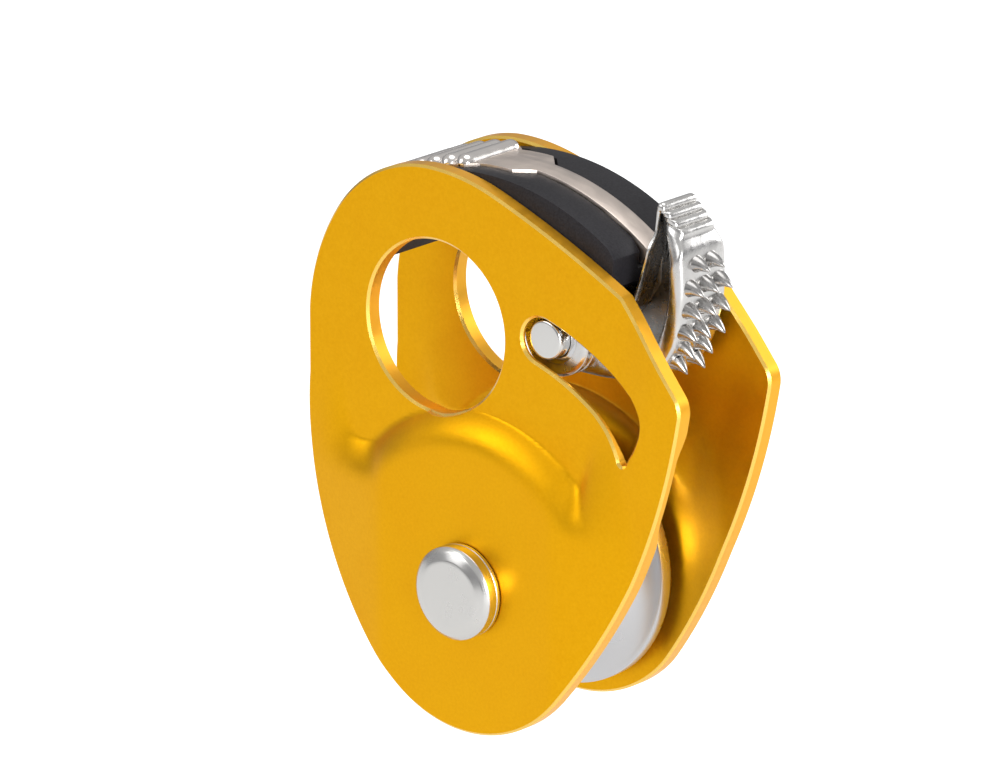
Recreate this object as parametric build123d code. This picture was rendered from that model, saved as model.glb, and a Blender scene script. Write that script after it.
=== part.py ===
from build123d import *
import math
import os

# A compact progress-capture rope pulley.  Two formed side plates hold a ball-bearing
# sheave on a steel axle, with a toothed cam above it that a catch holds raised.
# X is to the right, Y to the rear and Z up.  The origin is the middle of the sheave.
# All sizes are in millimetres.

# ---- driving sizes --------------------------------------------------------------
SHEAVE_RADIUS = 15.0
GROOVE_RADIUS = 5.6          # section of the rope groove
GROOVE_DEPTH = 5.1           # from the rim to the tread
SHEAVE_HALF_WIDTH = 7.2

PLATE_THICKNESS = 2.2
HALF_GAP = 6.4               # from the middle plane to a plate's flat inner face
DOME_STEP = 2.3              # how far the lower dome is pressed outward
DOME_RADIUS = 20.2           # foot of the dome's bend over the sheave
DOME_SHOULDER_Z = 13.4       # below this height the plate is pressed out from side to side
DOME_FULL_X = 12.0           # the dome is level out to here, and then falls off
DOME_LOST_X = 24.8           # to nothing here
WING_RISE = 0.45             # how far the wing beside the cam stands out
WING_RUN = 7.0               # over this distance from its fold
PLATE_MARGIN = 1.9           # plate edge beyond the sheave rim
PLATE_TOP = 47.3

AXLE_RADIUS = 4.0
AXLE_HEAD_RADIUS = 5.4
AXLE_HEAD_HEIGHT = 2.1
WASHER_HEIGHT = 0.6
BUSH_WALL = 1.0

BEARING_HALF_WIDTH = 2.5
BEARING_RADIUS = 8.0
INNER_RACE_WALL = 1.1
OUTER_RACE_WALL = 1.1
BALL_RADIUS = 1.15
BALL_COUNT = 9
CAGE_RIM = 0.3               # beside the pockets for the balls

CAM_X = 9.1
CAM_Z = 30.1
CAM_AXLE_RADIUS = 2.35
CAM_HUB_RADIUS = 4.6
CAM_BUSH_WALL = 0.7
CAM_HALF_WIDTH = 4.0
THUMB_HALF_WIDTH = 2.8
CAM_POCKET = 1.5
TOOTH_HEIGHT = 2.1
TOOTH_RADIUS = 1.15
PIN_RECESS = 0.7             # cam axle's end below the plate's outer face

EYE_X = -6.1
EYE_Z = 28.9
EYE_RADIUS = 9.9

BLOCK_ARC_X = -0.9           # centre of the block's rounded top
BLOCK_ARC_Z = 14.65
BLOCK_ARC_RADIUS = 32.25
BLOCK_RIGHT = 17.6
RIVET_RADIUS = 1.5
RIVET_HEAD = 0.8

STRIP_THICKNESS = 1.2
STRIP_PROUD = 0.3
STRIP_HALF_WIDTH = 1.5
BUTTON_HALF_WIDTH = 4.9
BUTTON_HEIGHT = 1.0
TIP_DROP = 0.9               # how far the strip's end turns down
STRIP_END = 54.6             # angles about the block's arc centre, in degrees
STRIP_START = 118.0
HEX_RIGHT = 86.0
HEX_LEFT = 96.0
HEX_HALF_WIDTH = 3.6
BUTTON_RIGHT = 96.5
BUTTON_LEFT = 116.5
PIVOT_ANGLE = 91.5
PIVOT_DEPTH = 2.7
PIVOT_RADIUS = 0.75
PIVOT_HALF_LENGTH = 4.6
LUG_HALF_WIDTH = 1.4
SPRING_X = -11.0
SPRING_COIL = 1.15
SPRING_WIRE = 0.22
SPRING_FLOOR = 40.4

CLIP_THICKNESS = 0.8
CLIP_GROOVE = 0.4

RUNNING = 0.05               # radial clearance of a running fit
LOOSE = 0.2                  # side clearance of pieces that only pass each other
PIN_END_GAP = 0.12           # over the cam axle's end, under the swinging plate
POCKET_GAP = 0.25            # round the catch lever in its pocket

# ---- places worked out from them ---------------------------------------------------
FLAT_OUTER = HALF_GAP + PLATE_THICKNESS
DOME_INNER = HALF_GAP + DOME_STEP
DOME_OUTER = DOME_INNER + PLATE_THICKNESS
PIN_END = FLAT_OUTER - PIN_RECESS
CAM_REACH = math.hypot(CAM_X, CAM_Z)
CAM_ANGLE = math.degrees(math.atan2(CAM_Z, CAM_X))
SLOT_HALF_WIDTH = CAM_AXLE_RADIUS + 0.3
PITCH_RADIUS = (AXLE_RADIUS + INNER_RACE_WALL + BEARING_RADIUS - OUTER_RACE_WALL) / 2
FAR = 80.0


def slab(face, y_low, y_high):
    """A face drawn with X across and Z up, made solid between two depths."""
    front = Plane((0, y_high, 0), x_dir=(1, 0, 0), z_dir=(0, -1, 0))
    return extrude(front * face, amount=y_high - y_low)


def rod(radius, y_low, y_high, x=0.0, z=0.0):
    """A round bar along Y."""
    return slab(Pos(x, z) * Circle(radius), y_low, y_high)


def ring(outer, inner, y_low, y_high, x=0.0, z=0.0):
    """A plain ring about an axis along Y."""
    return rod(outer, y_low, y_high, x, z) - rod(inner, y_low - 1, y_high + 1, x, z)


def polar(x, z, radius, angle):
    """The point at a radius and an angle in degrees about (x, z)."""
    turn = math.radians(angle)
    return (x + radius * math.cos(turn), z + radius * math.sin(turn))


def sector(x, z, low, high, start, end):
    """A flat piece of a ring between two radii and two angles, about (x, z)."""
    middle = (start + end) / 2
    edges = [
        ThreePointArc(*(polar(x, z, high, a) for a in (start, middle, end))),
        Line(polar(x, z, high, end), polar(x, z, low, end)),
        ThreePointArc(*(polar(x, z, low, a) for a in (end, middle, start))),
        Line(polar(x, z, low, start), polar(x, z, high, start)),
    ]
    return make_face(edges)


def write(name, shape):
    """Writes one sub-part under its own name."""
    shape.label = name
    export_step(shape, f"parts/{name}.step")


# ---- side plates -------------------------------------------------------------------
def plate_outline():
    """Round below the sheave, widening up to two wings, with a low rounded top."""
    bottom = SHEAVE_RADIUS + PLATE_MARGIN
    crown = (-5.0, PLATE_TOP)
    wing_kink = (20.6, PLATE_TOP - 10.1)
    wing_tip = (SHEAVE_RADIUS + 13.5, CAM_Z - 2.7)
    wing_corner = (SHEAVE_RADIUS + 14.1, CAM_Z - 5.1)
    right_foot = polar(0, 0, bottom, -38)
    left_foot = polar(0, 0, bottom, -128)
    lowest = polar(0, 0, bottom, -84)
    left_waist = (-SHEAVE_RADIUS - 9.9, CAM_Z - 10.1)
    left_tip = (-SHEAVE_RADIUS - 9.9, CAM_Z - 1.6)
    left_shoulder = (-20.1, PLATE_TOP - 6.7)

    under = ThreePointArc(left_foot, lowest, right_foot)
    right = TangentArc(right_foot, wing_corner, tangent=under % 1)
    corner = TangentArc(wing_corner, wing_tip, tangent=right % 1)
    wing = Line(wing_tip, wing_kink)
    over = TangentArc(crown, (7.0, PLATE_TOP - 3.1), tangent=(1, 0))
    slope = TangentArc((7.0, PLATE_TOP - 3.1), wing_kink, tangent=over % 1)
    back = TangentArc(crown, left_shoulder, tangent=(-1, 0))
    fall = TangentArc(left_shoulder, left_tip, tangent=back % 1)
    waist = Line(left_tip, left_waist)
    left = TangentArc(left_foot, left_waist, tangent=-1 * (under % 0))
    return make_face([under, right, corner, wing, slope, over, back, fall, waist, left])


def wing_block(fold, outward):
    """Space under the wing: level up to its fold, then rising slightly and level again.
    fold is a point of the fold line and outward the level direction square to it."""
    high = HALF_GAP + WING_RISE
    section = Polyline(
        (0, 0), (FAR, 0), (FAR, high), (WING_RUN, high), (0, HALF_GAP), close=True
    )
    across = Vector(*outward).normalized()
    end = Vector(fold[0], 0, fold[1]) - FAR * across.cross(Vector(0, 1, 0))
    place = Plane(end, x_dir=across, z_dir=across.cross(Vector(0, 1, 0)))
    return extrude(place * make_face(section), amount=2 * FAR)


def space_between():
    """Everything from the middle plane out to a plate's inner face: level in the upper
    middle, pressed out over the sheave but less so towards the sides, and standing out
    a little at the wing beside the cam."""
    level = Pos(0, HALF_GAP / 2, 0) * Box(2 * FAR, HALF_GAP, 2 * FAR)
    drop = 1.0
    foot = DOME_RADIUS + drop
    height = DOME_STEP + drop
    centre = HALF_GAP - drop + height / 2
    over_sheave = Pos(0, centre, 0) * Rot(-90, 0, 0) * Cone(foot, foot - height, height)
    shoulder = Polyline(
        (HALF_GAP - drop, DOME_SHOULDER_Z + drop),
        (DOME_INNER, DOME_SHOULDER_Z - DOME_STEP),
        (DOME_INNER, -FAR),
        (HALF_GAP - drop, -FAR),
        close=True,
    )
    below = extrude(Plane.YZ.offset(-FAR) * make_face(shoulder), amount=2 * FAR)
    fading = Polyline(
        (-FAR, 0), (FAR, 0), (FAR, HALF_GAP), (DOME_LOST_X, HALF_GAP), (DOME_FULL_X, DOME_INNER),
        (-DOME_FULL_X, DOME_INNER), (-DOME_LOST_X, HALF_GAP), (-FAR, HALF_GAP), close=True,
    )
    limit = extrude(Plane.XY.offset(-FAR) * make_face(fading), amount=2 * FAR)
    dome = (over_sheave + below) & limit
    return level + dome + wing_block((14.9, 14.0), (23.0, 0, -6.5))


def slot_face():
    """The mobile plate's curved slot: round about the cam axle, following it round the
    sheave, and drawn in to a small rounded tip where the wing rises over the axle's end."""
    inner = CAM_REACH - SLOT_HALF_WIDTH
    outer = CAM_REACH + SLOT_HALF_WIDTH
    band_end = 52.0
    band = sector(0, 0, inner, outer, band_end, CAM_ANGLE)
    low_side = [polar(0, 0, inner + r, a) for r, a in ((0, band_end), (-0.45, 47.3), (-1.0, 43.0))]
    tip = [polar(0, 0, inner + r, a) for r, a in ((-1.0, 43.0), (-1.1, 40.9), (0.1, 41.4))]
    swell = [polar(0, 0, inner + 0.1, 41.4), polar(0, 0, outer - 2.1, 43.4), polar(0, 0, outer - 0.9, 45.4)]
    turn_up = [polar(0, 0, outer + r, a) for r, a in ((-0.9, 45.4), (-0.25, 47.2), (0, 49.5))]
    high_side = [polar(0, 0, outer, a) for a in (49.5, 50.7, band_end)]
    tail = make_face(
        [ThreePointArc(*points) for points in (low_side, tip, swell, turn_up, high_side)]
        + [Line(high_side[2], low_side[0])]
    )
    return band + tail + Pos(CAM_X, CAM_Z) * Circle(SLOT_HALF_WIDTH)


def formed_plate(openings):
    """A pressed sheet, on the rear side, with the given faces cut through it."""
    inside = space_between()
    sheet = (Pos(0, PLATE_THICKNESS, 0) * inside) - inside
    plate = sheet & slab(plate_outline(), 0, FAR)
    for opening in openings:
        plate -= slab(opening, 0, FAR)
    return plate


def rear_side_plate():
    openings = [
        Circle(AXLE_RADIUS),
        Pos(EYE_X, EYE_Z) * Circle(EYE_RADIUS),
        Pos(CAM_X, CAM_Z) * Circle(CAM_AXLE_RADIUS),
    ]
    openings += [Pos(x, z) * Circle(RIVET_RADIUS) for x, z in rivet_places()]
    return formed_plate(openings)


def front_side_plate():
    """The mobile plate.  A shallow groove in its inner face lets the cam axle's end pass
    from the slot to the plate's edge as the plate swings open."""
    openings = [
        Circle(AXLE_RADIUS + RUNNING + BUSH_WALL),
        Pos(EYE_X, EYE_Z) * Circle(EYE_RADIUS),
        slot_face(),
    ]
    plate = formed_plate(openings)
    reach = CAM_AXLE_RADIUS + LOOSE
    path = sector(0, 0, CAM_REACH - reach, CAM_REACH + reach, 0, CAM_ANGLE)
    plate -= slab(path, 0, PIN_END + PIN_END_GAP)
    return mirror(plate, about=Plane.XZ)


# ---- spacer block -------------------------------------------------------------------
def rivet_places():
    return [(-16.6, 38.9), (12.6, 38.6)]


def block_angle(x):
    """Angle about the block's arc centre at which its top reaches this X."""
    return math.degrees(math.acos((x - BLOCK_ARC_X) / BLOCK_ARC_RADIUS))


def block_face():
    """Arched top, square right end, and an underside that clears the eye and the cam."""
    top_left = polar(BLOCK_ARC_X, BLOCK_ARC_Z, BLOCK_ARC_RADIUS, block_angle(-19.0))
    top_mid = polar(BLOCK_ARC_X, BLOCK_ARC_Z, BLOCK_ARC_RADIUS, 90)
    top_right = polar(BLOCK_ARC_X, BLOCK_ARC_Z, BLOCK_ARC_RADIUS, block_angle(BLOCK_RIGHT - 0.9))
    eye_wall = EYE_RADIUS + 1.1
    hub_wall = CAM_HUB_RADIUS + 1.0
    eye_left = polar(EYE_X, EYE_Z, eye_wall, 150)
    eye_top = polar(EYE_X, EYE_Z, eye_wall, 95)
    eye_right = polar(EYE_X, EYE_Z, eye_wall, 32)
    hub_left = polar(CAM_X, CAM_Z, hub_wall, 150)
    hub_turn = polar(CAM_X, CAM_Z, hub_wall, 120)
    hub_top = polar(CAM_X, CAM_Z, hub_wall, 90)
    return make_face([
        ThreePointArc(top_left, top_mid, top_right),
        Line(top_right, (BLOCK_RIGHT, top_right[1] - 1.2)),
        Line((BLOCK_RIGHT, top_right[1] - 1.2), (BLOCK_RIGHT - 0.4, CAM_Z + 7.0)),
        Line((BLOCK_RIGHT - 0.4, CAM_Z + 7.0), (BLOCK_RIGHT - 2.6, hub_top[1])),
        Line((BLOCK_RIGHT - 2.6, hub_top[1]), hub_top),
        ThreePointArc(hub_top, hub_turn, hub_left),
        Line(hub_left, eye_right),
        ThreePointArc(eye_right, eye_top, eye_left),
        Line(eye_left, (-20.0, 36.5)),
        Line((-20.0, 36.5), top_left),
    ])


def pivot_place():
    return polar(BLOCK_ARC_X, BLOCK_ARC_Z, BLOCK_ARC_RADIUS - PIVOT_DEPTH, PIVOT_ANGLE)


def lever_plan(grow):
    """The catch lever seen from above, grown all round: a narrow strip, which widens in
    a taper to the flat over the pin, and again to the seat of the button."""
    def corner(angle, half_width):
        return (polar(BLOCK_ARC_X, 0, BLOCK_ARC_RADIUS, angle)[0] + grow, half_width + grow)

    side = [
        (FAR, STRIP_HALF_WIDTH + grow),
        corner(HEX_RIGHT - 2.5, STRIP_HALF_WIDTH),
        corner(HEX_RIGHT + 1, HEX_HALF_WIDTH),
        corner(HEX_LEFT - 1, HEX_HALF_WIDTH),
        corner(HEX_LEFT + 1.5, BUTTON_HALF_WIDTH),
        (-FAR, BUTTON_HALF_WIDTH + grow),
    ]
    plan = make_face(Polyline(*side, *[(x, -y) for x, y in reversed(side)], close=True))
    return extrude(plan, amount=FAR)


def block_sector(low, high, start, end):
    """A ring sector about the block's arc centre, by height above the block's top."""
    return sector(
        BLOCK_ARC_X, BLOCK_ARC_Z, BLOCK_ARC_RADIUS + low, BLOCK_ARC_RADIUS + high, start, end
    )


def spacer_block():
    """A moulded block with a stepped pocket along its top for the catch lever."""
    half = HALF_GAP - 0.1
    block = slab(block_face(), -half, HALF_GAP)
    bottom = STRIP_PROUD - STRIP_THICKNESS
    floor = bottom - 0.15
    channel = slab(block_sector(floor, 5, STRIP_END - 4, STRIP_START + 2 * POCKET_GAP), -half, half)
    block -= channel & lever_plan(POCKET_GAP)
    pockets = [
        (STRIP_HALF_WIDTH, floor - TIP_DROP - LOOSE, STRIP_END - 8, STRIP_END + 1.2),
        (BUTTON_HALF_WIDTH, floor - 1.7, HEX_LEFT - 1, STRIP_START + 1),
        (HEX_HALF_WIDTH, floor - 0.8, PIVOT_ANGLE, HEX_LEFT + 3),
        (LUG_HALF_WIDTH, -PIVOT_DEPTH - 2.5, PIVOT_ANGLE - 4.5, PIVOT_ANGLE + 4.5),
    ]
    for half_width, low, start, end in pockets:
        wide = half_width + POCKET_GAP
        block -= slab(block_sector(low, 5, start, end), -wide, wide)
    block -= Pos(SPRING_X, 0, SPRING_FLOOR + 5) * Cylinder(SPRING_COIL + 0.5, 10)
    pin_x, pin_z = pivot_place()
    block -= rod(PIVOT_RADIUS, -PIVOT_HALF_LENGTH, PIVOT_HALF_LENGTH, pin_x, pin_z)
    for x, z in rivet_places():
        block -= rod(RIVET_RADIUS, -FAR, FAR, x, z)
    return block


def block_rivets():
    """Two steel rivets that hold the block to the fixed plate."""
    rivets = []
    for x, z in rivet_places():
        shank = rod(RIVET_RADIUS, -HALF_GAP + 0.4, FLAT_OUTER + RIVET_HEAD, x, z)
        rivets.append(shank + rod(RIVET_RADIUS + 0.9, FLAT_OUTER, FLAT_OUTER + RIVET_HEAD, x, z))
    return Compound(children=rivets)


# ---- catch ---------------------------------------------------------------------------
def catch_lever():
    """A formed steel strip on a pin: wide under the button, narrow towards the cam."""
    bottom = STRIP_PROUD - STRIP_THICKNESS
    arc = block_sector(bottom, STRIP_PROUD, STRIP_END, STRIP_START)
    lever = slab(arc, -BUTTON_HALF_WIDTH, BUTTON_HALF_WIDTH) & lever_plan(0)
    tip = block_sector(bottom - TIP_DROP, STRIP_PROUD, STRIP_END - 1.6, STRIP_END + 0.2)
    lever += slab(tip, -STRIP_HALF_WIDTH, STRIP_HALF_WIDTH)
    lug = block_sector(-PIVOT_DEPTH - 1.5, bottom + 0.3, PIVOT_ANGLE - 2.6, PIVOT_ANGLE + 2.6)
    lever += slab(lug, -LUG_HALF_WIDTH, LUG_HALF_WIDTH)
    pin_x, pin_z = pivot_place()
    return lever - rod(PIVOT_RADIUS + RUNNING, -FAR, FAR, pin_x, pin_z)


def catch_button():
    """The ridged thumb pad on the lever's wide end."""
    ridge_count = 5
    pad = slab(
        block_sector(STRIP_PROUD, STRIP_PROUD + 0.35, BUTTON_RIGHT, BUTTON_LEFT),
        -BUTTON_HALF_WIDTH, BUTTON_HALF_WIDTH,
    )
    step = (BUTTON_LEFT - BUTTON_RIGHT) / ridge_count
    radius = 0.46 * math.radians(step) * BLOCK_ARC_RADIUS
    for index in range(ridge_count):
        angle = BUTTON_RIGHT + (index + 0.5) * step
        level = BLOCK_ARC_RADIUS + STRIP_PROUD + BUTTON_HEIGHT - radius
        x, z = polar(BLOCK_ARC_X, BLOCK_ARC_Z, level, angle)
        pad += rod(radius, -BUTTON_HALF_WIDTH, BUTTON_HALF_WIDTH, x, z)
    under = block_sector(-9, STRIP_PROUD, BUTTON_RIGHT - 9, BUTTON_LEFT + 9)
    return pad - slab(under, -FAR, FAR)


def catch_pivot_pin():
    x, z = pivot_place()
    return rod(PIVOT_RADIUS, -PIVOT_HALF_LENGTH, PIVOT_HALF_LENGTH, x, z)


def catch_spring():
    """A small compression spring that pushes the button back up."""
    lever_foot = BLOCK_ARC_RADIUS + STRIP_PROUD - STRIP_THICKNESS
    reach = abs(SPRING_X - SPRING_COIL - BLOCK_ARC_X)
    ceiling = BLOCK_ARC_Z + math.sqrt(lever_foot ** 2 - reach ** 2)
    height = ceiling - SPRING_FLOOR - 2 * SPRING_WIRE - 0.2
    path = Helix(pitch=height / 4, height=height, radius=SPRING_COIL)
    section = Plane(origin=path @ 0, z_dir=path % 0) * Circle(SPRING_WIRE)
    return Pos(SPRING_X, 0, SPRING_FLOOR + SPRING_WIRE + 0.05) * sweep(section, path=path)


# ---- cam --------------------------------------------------------------------------------
def cam_face():
    """Side view of the raised cam: hub, arm, convex toothed face and thumb end."""
    def at(x, z):
        return (CAM_X + x, CAM_Z + z)

    rim = [at(11.7, 16.7), at(10.9, 9.6), at(8.3, 3.2)]
    face_top = at(16.1, 11.2)
    face_mid = at(15.9, 5.2)
    face_low = at(12.9, -2.4)
    return make_face([
        ThreePointArc(*rim),
        Line(at(8.3, 3.2), at(2.3, 3.98)),
        Line(at(2.3, 3.98), at(0, 0)),
        Line(at(0, 0), at(1.2, -4.4)),
        Line(at(1.2, -4.4), at(11.4, -3.7)),
        Line(at(11.4, -3.7), face_low),
        ThreePointArc(face_low, face_mid, face_top),
        Line(face_top, at(15.5, 13.5)),
        Line(at(15.5, 13.5), at(12.2, 17.1)),
        Line(at(12.2, 17.1), at(11.7, 16.7)),
    ])


def tooth_places():
    """Foot, depth and lean of each spike: six staggered rows down the convex face."""
    rows = [
        (32.0, (-1.2, 1.3)),
        (25.5, (-2.5, 0.0, 2.5)),
        (18.5, (-2.5, 0.0, 2.5)),
        (10.5, (-2.5, 0.0, 2.5)),
        (2.0, (-1.6, 1.6)),
        (-6.5, (-1.6, 1.6)),
    ]
    face_at = [(-10.5, 13.1), (5.0, 15.0), (20.0, 17.3), (34.8, 19.6)]
    places = []
    for angle, depths in rows:
        radius = face_at[-1][1]
        for (a0, r0), (a1, r1) in zip(face_at, face_at[1:]):
            if a0 <= angle <= a1:
                radius = r0 + (r1 - r0) * (angle - a0) / (a1 - a0)
        for y in depths:
            places.append((radius - 0.5, angle, y))
    return places


def cam_tooth(radius, angle, y):
    """One spike, leaning down so that it bites as the rope runs back."""
    x, z = polar(CAM_X, CAM_Z, radius, angle)
    lean = math.radians(angle * 0.6 - 24)
    axis = (math.cos(lean), 0, math.sin(lean))
    height = TOOTH_HEIGHT + 0.5
    return Plane((x, y, z), z_dir=axis) * Pos(0, 0, height / 2) * Cone(TOOTH_RADIUS, 0.12, height)


def cam():
    body = slab(cam_face(), -CAM_HALF_WIDTH, CAM_HALF_WIDTH)
    thumb = Pos(CAM_X + 14, 0, CAM_Z + 17.4)
    for side in (-1, 1):
        trim = Pos(0, side * (THUMB_HALF_WIDTH + 2), 0) * Box(14, 4, 9)
        body -= thumb * trim
    for side in (-1, 1):
        depth = side * (CAM_HALF_WIDTH - CAM_POCKET)
        pocket = make_face(Polyline(
            (CAM_X + 6.0, CAM_Z + 0.6), (CAM_X + 9.4, CAM_Z + 3.0),
            (CAM_X + 11.9, CAM_Z + 9.8), (CAM_X + 12.4, CAM_Z + 12.4),
            (CAM_X + 14.1, CAM_Z + 9.0), (CAM_X + 13.6, CAM_Z + 4.0),
            (CAM_X + 11.6, CAM_Z - 1.4), (CAM_X + 6.0, CAM_Z - 2.2), close=True))
        body -= slab(pocket, min(depth, side * FAR), max(depth, side * FAR))
    hub = HALF_GAP - LOOSE
    body += rod(CAM_HUB_RADIUS, -hub, hub, CAM_X, CAM_Z)
    for radius, angle, y in tooth_places():
        body += cam_tooth(radius, angle, y)
    bore = CAM_AXLE_RADIUS + RUNNING + CAM_BUSH_WALL
    return body - rod(bore, -FAR, FAR, CAM_X, CAM_Z)


def cam_bush():
    inner = CAM_AXLE_RADIUS + RUNNING
    hub = HALF_GAP - LOOSE
    return ring(inner + CAM_BUSH_WALL, inner, -hub, hub, CAM_X, CAM_Z)


def cam_axle():
    """A steel pin riveted in the fixed plate.  Its free end stands in the slot."""
    pin = rod(CAM_AXLE_RADIUS, -PIN_END, FLAT_OUTER + 1.0, CAM_X, CAM_Z)
    return pin + rod(CAM_AXLE_RADIUS + 1.2, FLAT_OUTER, FLAT_OUTER + 1.0, CAM_X, CAM_Z)


# ---- sheave, bearing and axle ------------------------------------------------------------
def turned(points):
    """A solid turned about the sheave axis from (radius, y) points."""
    profile = make_face(Polyline(*points, close=True))
    return revolve(profile, axis=Axis.Y)


def sheave():
    """A turned wheel with a round rope groove, bored for its bearing."""
    half = SHEAVE_HALF_WIDTH
    well = 4.2
    blank = rod(SHEAVE_RADIUS, -half, half)
    groove_centre = SHEAVE_RADIUS - GROOVE_DEPTH + GROOVE_RADIUS
    blank -= revolve(Pos(groove_centre, 0) * Circle(GROOVE_RADIUS), axis=Axis.Y)
    blank -= rod(BEARING_RADIUS, -FAR, BEARING_HALF_WIDTH)
    blank -= rod(BEARING_RADIUS - 1.0, -FAR, FAR)
    for low, high in ((-FAR, -well), (well, FAR)):
        blank -= rod(BEARING_RADIUS + 0.9, low, high)
    clip_low = -BEARING_HALF_WIDTH - CLIP_THICKNESS
    return blank - rod(BEARING_RADIUS + CLIP_GROOVE, clip_low, -BEARING_HALF_WIDTH)


def bearing_circlip():
    """A sprung ring with a gap, in a groove beside the bearing."""
    low = -BEARING_HALF_WIDTH - CLIP_THICKNESS
    clip = ring(BEARING_RADIUS + CLIP_GROOVE, BEARING_RADIUS - 0.9, low, -BEARING_HALF_WIDTH)
    gap = Pos(0, low, -BEARING_RADIUS) * Box(3.0, 4.0, 4.0)
    return clip - gap


def ball_track():
    """The ring-shaped space that the balls run in."""
    return revolve(Pos(PITCH_RADIUS, 0) * Circle(BALL_RADIUS + RUNNING), axis=Axis.Y)


def bearing_inner_race():
    outer = AXLE_RADIUS + INNER_RACE_WALL
    race = ring(outer, AXLE_RADIUS, -BEARING_HALF_WIDTH, BEARING_HALF_WIDTH)
    return race - ball_track()


def bearing_outer_race():
    inner = BEARING_RADIUS - OUTER_RACE_WALL
    race = ring(BEARING_RADIUS, inner, -BEARING_HALF_WIDTH, BEARING_HALF_WIDTH)
    return race - ball_track()


def ball_centres():
    return [polar(0, 0, PITCH_RADIUS, 360 * i / BALL_COUNT) for i in range(BALL_COUNT)]


def bearing_balls():
    return Compound(children=[Pos(x, 0, z) * Sphere(BALL_RADIUS) for x, z in ball_centres()])


def bearing_cage():
    """A thin ring with a round pocket for each ball, which keeps the balls apart."""
    inner = AXLE_RADIUS + INNER_RACE_WALL + 0.25
    outer = BEARING_RADIUS - OUTER_RACE_WALL - 0.25
    pocket = BALL_RADIUS + RUNNING
    half = pocket + CAGE_RIM
    cage = ring(outer, inner, -half, half)
    for x, z in ball_centres():
        cage -= rod(pocket, -pocket, pocket, x, z)
    return cage


def bearing_seal(side):
    """A thin rubber-faced ring held in the outer race, clear of the inner one."""
    inner = AXLE_RADIUS + INNER_RACE_WALL + 0.1
    outer = BEARING_RADIUS - OUTER_RACE_WALL
    low = BEARING_HALF_WIDTH - 0.5
    high = BEARING_HALF_WIDTH - 0.1
    return ring(outer, inner, min(side * low, side * high), max(side * low, side * high))


def bearing_spacer(side):
    """A collar on the axle between the inner race and a side plate."""
    near = BEARING_HALF_WIDTH
    far = DOME_INNER if side > 0 else DOME_INNER - 0.1
    neck = near + 0.8
    thin = rod(AXLE_RADIUS + 1.0, *sorted((side * near, side * neck)))
    thick = rod(AXLE_RADIUS + 2.4, *sorted((side * neck, side * far)))
    return thin + thick - rod(AXLE_RADIUS, -FAR, FAR)


def sheave_axle():
    """A headed steel pin with a turned centre and a wide bevel on its head."""
    head_low = DOME_OUTER + WASHER_HEIGHT + 0.1
    head_high = head_low + AXLE_HEAD_HEIGHT
    bevel = 0.55
    disc = 2.6
    centre = turned([
        (0, -head_low), (AXLE_HEAD_RADIUS, -head_low),
        (AXLE_HEAD_RADIUS, -head_high + bevel), (disc, -head_high), (0, -head_high)])
    return centre + rod(AXLE_RADIUS, -head_low, DOME_OUTER + 2.4)


def axle_washer():
    low = DOME_OUTER + 0.1
    return ring(AXLE_HEAD_RADIUS, AXLE_RADIUS, -low - WASHER_HEIGHT, -low)


def axle_rear_collar():
    """A collar on the fixed side that the axle's end is riveted over."""
    high = DOME_OUTER + 2.2
    collar = turned([
        (AXLE_RADIUS, DOME_OUTER), (AXLE_HEAD_RADIUS + 0.3, DOME_OUTER),
        (AXLE_HEAD_RADIUS + 0.3, high - 0.6), (AXLE_HEAD_RADIUS - 0.4, high), (AXLE_RADIUS, high)])
    return collar


def plate_bush():
    """A plain bush pressed in the mobile plate, turning on the axle."""
    inner = AXLE_RADIUS + RUNNING
    return ring(inner + BUSH_WALL, inner, -DOME_OUTER, -DOME_INNER)


def cam_spring():
    """A two-turn torsion spring round the cam's hub."""
    wire = 0.35
    radius = CAM_HUB_RADIUS + wire + 0.05
    low = CAM_HALF_WIDTH + wire + 0.15
    height = HALF_GAP - low - wire - 0.15
    path = Helix(pitch=height / 1.8, height=height, radius=radius)
    section = Plane(origin=path @ 0, z_dir=path % 0) * Circle(wire)
    coil = sweep(section, path=path)
    return Pos(CAM_X, low, CAM_Z) * Rot(-90, 0, 0) * coil


# ---- write every piece -----------------------------------------------------------------
os.makedirs("parts", exist_ok=True)
PIECES = {
    "rear_side_plate": rear_side_plate(),
    "spacer_block": spacer_block(),
    "block_rivets": block_rivets(),
    "sheave_axle": sheave_axle(),
    "axle_washer": axle_washer(),
    "axle_rear_collar": axle_rear_collar(),
    "bearing_inner_race": bearing_inner_race(),
    "bearing_spacer_front": bearing_spacer(-1),
    "bearing_spacer_rear": bearing_spacer(1),
    "cam_axle": cam_axle(),
    "catch_pivot_pin": catch_pivot_pin(),
    "catch_spring": catch_spring(),
    "front_side_plate": front_side_plate(),
    "plate_bush": plate_bush(),
    "sheave": sheave(),
    "bearing_outer_race": bearing_outer_race(),
    "bearing_seal_front": bearing_seal(-1),
    "bearing_seal_rear": bearing_seal(1),
    "bearing_circlip": bearing_circlip(),
    "bearing_cage": bearing_cage(),
    "bearing_balls": bearing_balls(),
    "cam": cam(),
    "cam_bush": cam_bush(),
    "cam_spring": cam_spring(),
    "catch_lever": catch_lever(),
    "catch_button": catch_button(),
}
for piece_name, piece in PIECES.items():
    write(piece_name, piece)
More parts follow.
